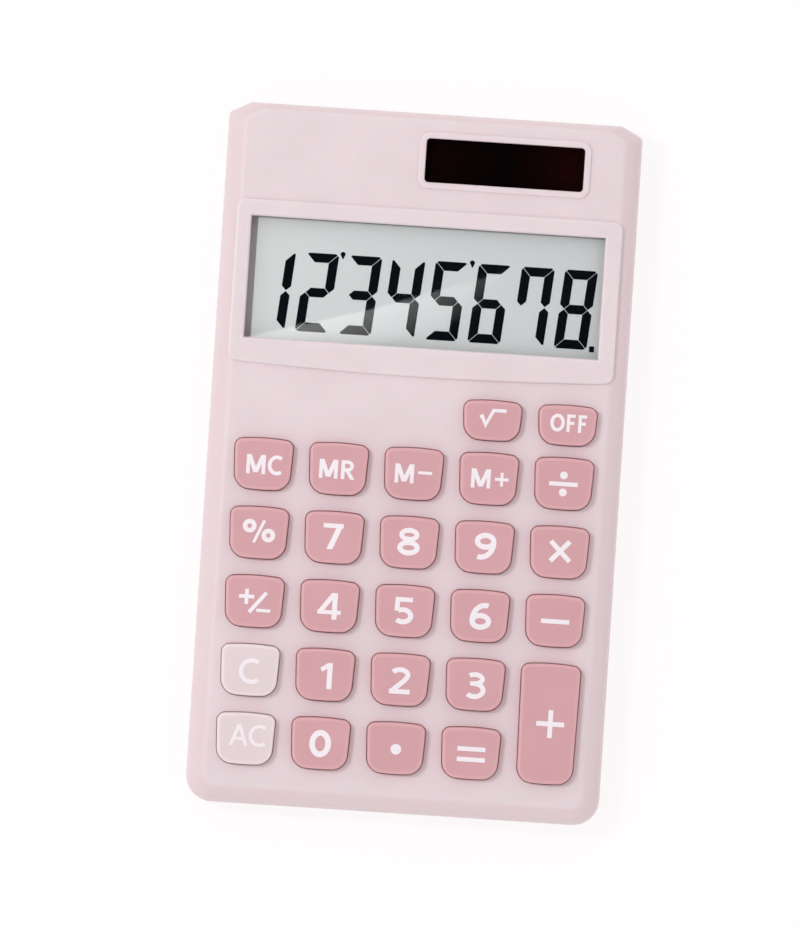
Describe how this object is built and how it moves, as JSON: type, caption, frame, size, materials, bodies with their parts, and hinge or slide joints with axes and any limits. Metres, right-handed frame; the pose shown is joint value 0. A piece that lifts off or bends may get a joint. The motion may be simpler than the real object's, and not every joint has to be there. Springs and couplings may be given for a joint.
{
  "type": "pocket calculator",
  "caption": "Slim pocket calculator with a sprung keypad, a recessed display under a clear window, a solar cell and a sliding battery cover.",
  "frame": {"origin": "centre of the outline, on the surface that the rubber feet stand on", "axes": "+X to the right across the keys, +Y towards the display end, +Z out of the key face"},
  "size_m": [0.07, 0.1184, 0.0112],
  "materials": {
    "case_pink": "fine satin moulded plastic, soft highlights",
    "key_rose": "satin moulded plastic, white printed legends",
    "key_pale": "satin moulded plastic, white printed legends",
    "legend_white": "white key legends, printed",
    "lcd_ink": "near-black display segments",
    "clear_window": "polished clear acrylic",
    "lcd_glass": "silver-grey reflective display with near-black segments",
    "solar_black": "dark amorphous solar cell, faint maroon tint",
    "board_green": "solder-masked circuit board",
    "epoxy_black": "black epoxy",
    "ceramic_tan": "fired ceramic component body",
    "silicone": "translucent white silicone rubber",
    "rubber_grey": "matt grey rubber",
    "steel": "bright nickel-plated steel",
    "wire_red": "red insulation",
    "wire_black": "black insulation"
  },
  "bodies": {
    "case": {"front_case": "case_pink", "rear_case": "case_pink", "display_window": "clear_window", "solar_window": "clear_window", "lcd_panel": "lcd_glass", "lcd_connector_strip": "silicone", "solar_cell": "solar_black", "circuit_board": "board_green", "chip_cover": "epoxy_black", "diode": "epoxy_black", "capacitor": "ceramic_tan", "resistor": "ceramic_tan", "key_mat": "silicone", "button_cell": "steel", "battery_contact_negative": "steel", "battery_contact_positive": "steel", "solar_wire_red": "wire_red", "solar_wire_black": "wire_black", "case_screw_1": "steel", "board_screw_1": "steel", "rubber_foot_1": "rubber_grey", "case_screw_2": "steel", "board_screw_2": "steel", "rubber_foot_2": "rubber_grey", "case_screw_3": "steel", "board_screw_3": "steel", "rubber_foot_3": "rubber_grey", "case_screw_4": "steel", "board_screw_4": "steel", "rubber_foot_4": "rubber_grey"},
    "key_square_root_body": {"key_square_root": "key_rose"},
    "key_off_body": {"key_off": "key_rose"},
    "key_memory_clear_body": {"key_memory_clear": "key_rose"},
    "key_memory_recall_body": {"key_memory_recall": "key_rose"},
    "key_memory_minus_body": {"key_memory_minus": "key_rose"},
    "key_memory_plus_body": {"key_memory_plus": "key_rose"},
    "key_divide_body": {"key_divide": "key_rose"},
    "key_percent_body": {"key_percent": "key_rose"},
    "key_7_body": {"key_7": "key_rose"},
    "key_8_body": {"key_8": "key_rose"},
    "key_9_body": {"key_9": "key_rose"},
    "key_multiply_body": {"key_multiply": "key_rose"},
    "key_change_sign_body": {"key_change_sign": "key_rose"},
    "key_4_body": {"key_4": "key_rose"},
    "key_5_body": {"key_5": "key_rose"},
    "key_6_body": {"key_6": "key_rose"},
    "key_minus_body": {"key_minus": "key_rose"},
    "key_clear_body": {"key_clear": "key_pale"},
    "key_1_body": {"key_1": "key_rose"},
    "key_2_body": {"key_2": "key_rose"},
    "key_3_body": {"key_3": "key_rose"},
    "key_all_clear_body": {"key_all_clear": "key_pale"},
    "key_0_body": {"key_0": "key_rose"},
    "key_decimal_body": {"key_decimal": "key_rose"},
    "key_equals_body": {"key_equals": "key_rose"},
    "key_plus_body": {"key_plus": "key_rose"},
    "battery_cover_body": {"battery_cover": "case_pink"}
  },
  "joints": [
    {"name": "key_square_root_press", "type": "slide", "parent": "case", "child": "key_square_root_body", "axis": [0, 0, -1], "range_m": [0, 0.001], "stiffness_N_per_m": 400, "springref_m": -0.0005, "deforming": ["key_mat"]},
    {"name": "key_off_press", "type": "slide", "parent": "case", "child": "key_off_body", "axis": [0, 0, -1], "range_m": [0, 0.001], "stiffness_N_per_m": 400, "springref_m": -0.0005, "deforming": ["key_mat"]},
    {"name": "key_memory_clear_press", "type": "slide", "parent": "case", "child": "key_memory_clear_body", "axis": [0, 0, -1], "range_m": [0, 0.001], "stiffness_N_per_m": 400, "springref_m": -0.0005, "deforming": ["key_mat"]},
    {"name": "key_memory_recall_press", "type": "slide", "parent": "case", "child": "key_memory_recall_body", "axis": [0, 0, -1], "range_m": [0, 0.001], "stiffness_N_per_m": 400, "springref_m": -0.0005, "deforming": ["key_mat"]},
    {"name": "key_memory_minus_press", "type": "slide", "parent": "case", "child": "key_memory_minus_body", "axis": [0, 0, -1], "range_m": [0, 0.001], "stiffness_N_per_m": 400, "springref_m": -0.0005, "deforming": ["key_mat"]},
    {"name": "key_memory_plus_press", "type": "slide", "parent": "case", "child": "key_memory_plus_body", "axis": [0, 0, -1], "range_m": [0, 0.001], "stiffness_N_per_m": 400, "springref_m": -0.0005, "deforming": ["key_mat"]},
    {"name": "key_divide_press", "type": "slide", "parent": "case", "child": "key_divide_body", "axis": [0, 0, -1], "range_m": [0, 0.001], "stiffness_N_per_m": 400, "springref_m": -0.0005, "deforming": ["key_mat"]},
    {"name": "key_percent_press", "type": "slide", "parent": "case", "child": "key_percent_body", "axis": [0, 0, -1], "range_m": [0, 0.001], "stiffness_N_per_m": 400, "springref_m": -0.0005, "deforming": ["key_mat"]},
    {"name": "key_7_press", "type": "slide", "parent": "case", "child": "key_7_body", "axis": [0, 0, -1], "range_m": [0, 0.001], "stiffness_N_per_m": 400, "springref_m": -0.0005, "deforming": ["key_mat"]},
    {"name": "key_8_press", "type": "slide", "parent": "case", "child": "key_8_body", "axis": [0, 0, -1], "range_m": [0, 0.001], "stiffness_N_per_m": 400, "springref_m": -0.0005, "deforming": ["key_mat"]},
    {"name": "key_9_press", "type": "slide", "parent": "case", "child": "key_9_body", "axis": [0, 0, -1], "range_m": [0, 0.001], "stiffness_N_per_m": 400, "springref_m": -0.0005, "deforming": ["key_mat"]},
    {"name": "key_multiply_press", "type": "slide", "parent": "case", "child": "key_multiply_body", "axis": [0, 0, -1], "range_m": [0, 0.001], "stiffness_N_per_m": 400, "springref_m": -0.0005, "deforming": ["key_mat"]},
    {"name": "key_change_sign_press", "type": "slide", "parent": "case", "child": "key_change_sign_body", "axis": [0, 0, -1], "range_m": [0, 0.001], "stiffness_N_per_m": 400, "springref_m": -0.0005, "deforming": ["key_mat"]},
    {"name": "key_4_press", "type": "slide", "parent": "case", "child": "key_4_body", "axis": [0, 0, -1], "range_m": [0, 0.001], "stiffness_N_per_m": 400, "springref_m": -0.0005, "deforming": ["key_mat"]},
    {"name": "key_5_press", "type": "slide", "parent": "case", "child": "key_5_body", "axis": [0, 0, -1], "range_m": [0, 0.001], "stiffness_N_per_m": 400, "springref_m": -0.0005, "deforming": ["key_mat"]},
    {"name": "key_6_press", "type": "slide", "parent": "case", "child": "key_6_body", "axis": [0, 0, -1], "range_m": [0, 0.001], "stiffness_N_per_m": 400, "springref_m": -0.0005, "deforming": ["key_mat"]},
    {"name": "key_minus_press", "type": "slide", "parent": "case", "child": "key_minus_body", "axis": [0, 0, -1], "range_m": [0, 0.001], "stiffness_N_per_m": 400, "springref_m": -0.0005, "deforming": ["key_mat"]},
    {"name": "key_clear_press", "type": "slide", "parent": "case", "child": "key_clear_body", "axis": [0, 0, -1], "range_m": [0, 0.001], "stiffness_N_per_m": 400, "springref_m": -0.0005, "deforming": ["key_mat"]},
    {"name": "key_1_press", "type": "slide", "parent": "case", "child": "key_1_body", "axis": [0, 0, -1], "range_m": [0, 0.001], "stiffness_N_per_m": 400, "springref_m": -0.0005, "deforming": ["key_mat"]},
    {"name": "key_2_press", "type": "slide", "parent": "case", "child": "key_2_body", "axis": [0, 0, -1], "range_m": [0, 0.001], "stiffness_N_per_m": 400, "springref_m": -0.0005, "deforming": ["key_mat"]},
    {"name": "key_3_press", "type": "slide", "parent": "case", "child": "key_3_body", "axis": [0, 0, -1], "range_m": [0, 0.001], "stiffness_N_per_m": 400, "springref_m": -0.0005, "deforming": ["key_mat"]},
    {"name": "key_all_clear_press", "type": "slide", "parent": "case", "child": "key_all_clear_body", "axis": [0, 0, -1], "range_m": [0, 0.001], "stiffness_N_per_m": 400, "springref_m": -0.0005, "deforming": ["key_mat"]},
    {"name": "key_0_press", "type": "slide", "parent": "case", "child": "key_0_body", "axis": [0, 0, -1], "range_m": [0, 0.001], "stiffness_N_per_m": 400, "springref_m": -0.0005, "deforming": ["key_mat"]},
    {"name": "key_decimal_press", "type": "slide", "parent": "case", "child": "key_decimal_body", "axis": [0, 0, -1], "range_m": [0, 0.001], "stiffness_N_per_m": 400, "springref_m": -0.0005, "deforming": ["key_mat"]},
    {"name": "key_equals_press", "type": "slide", "parent": "case", "child": "key_equals_body", "axis": [0, 0, -1], "range_m": [0, 0.001], "stiffness_N_per_m": 400, "springref_m": -0.0005, "deforming": ["key_mat"]},
    {"name": "key_plus_press", "type": "slide", "parent": "case", "child": "key_plus_body", "axis": [0, 0, -1], "range_m": [0, 0.001], "stiffness_N_per_m": 400, "springref_m": -0.0005, "deforming": ["key_mat"]},
    {"name": "battery_cover_slide", "type": "slide", "parent": "case", "child": "battery_cover_body", "axis": [0, 1, 0], "range_m": [0, 0.0165]}
  ]
}
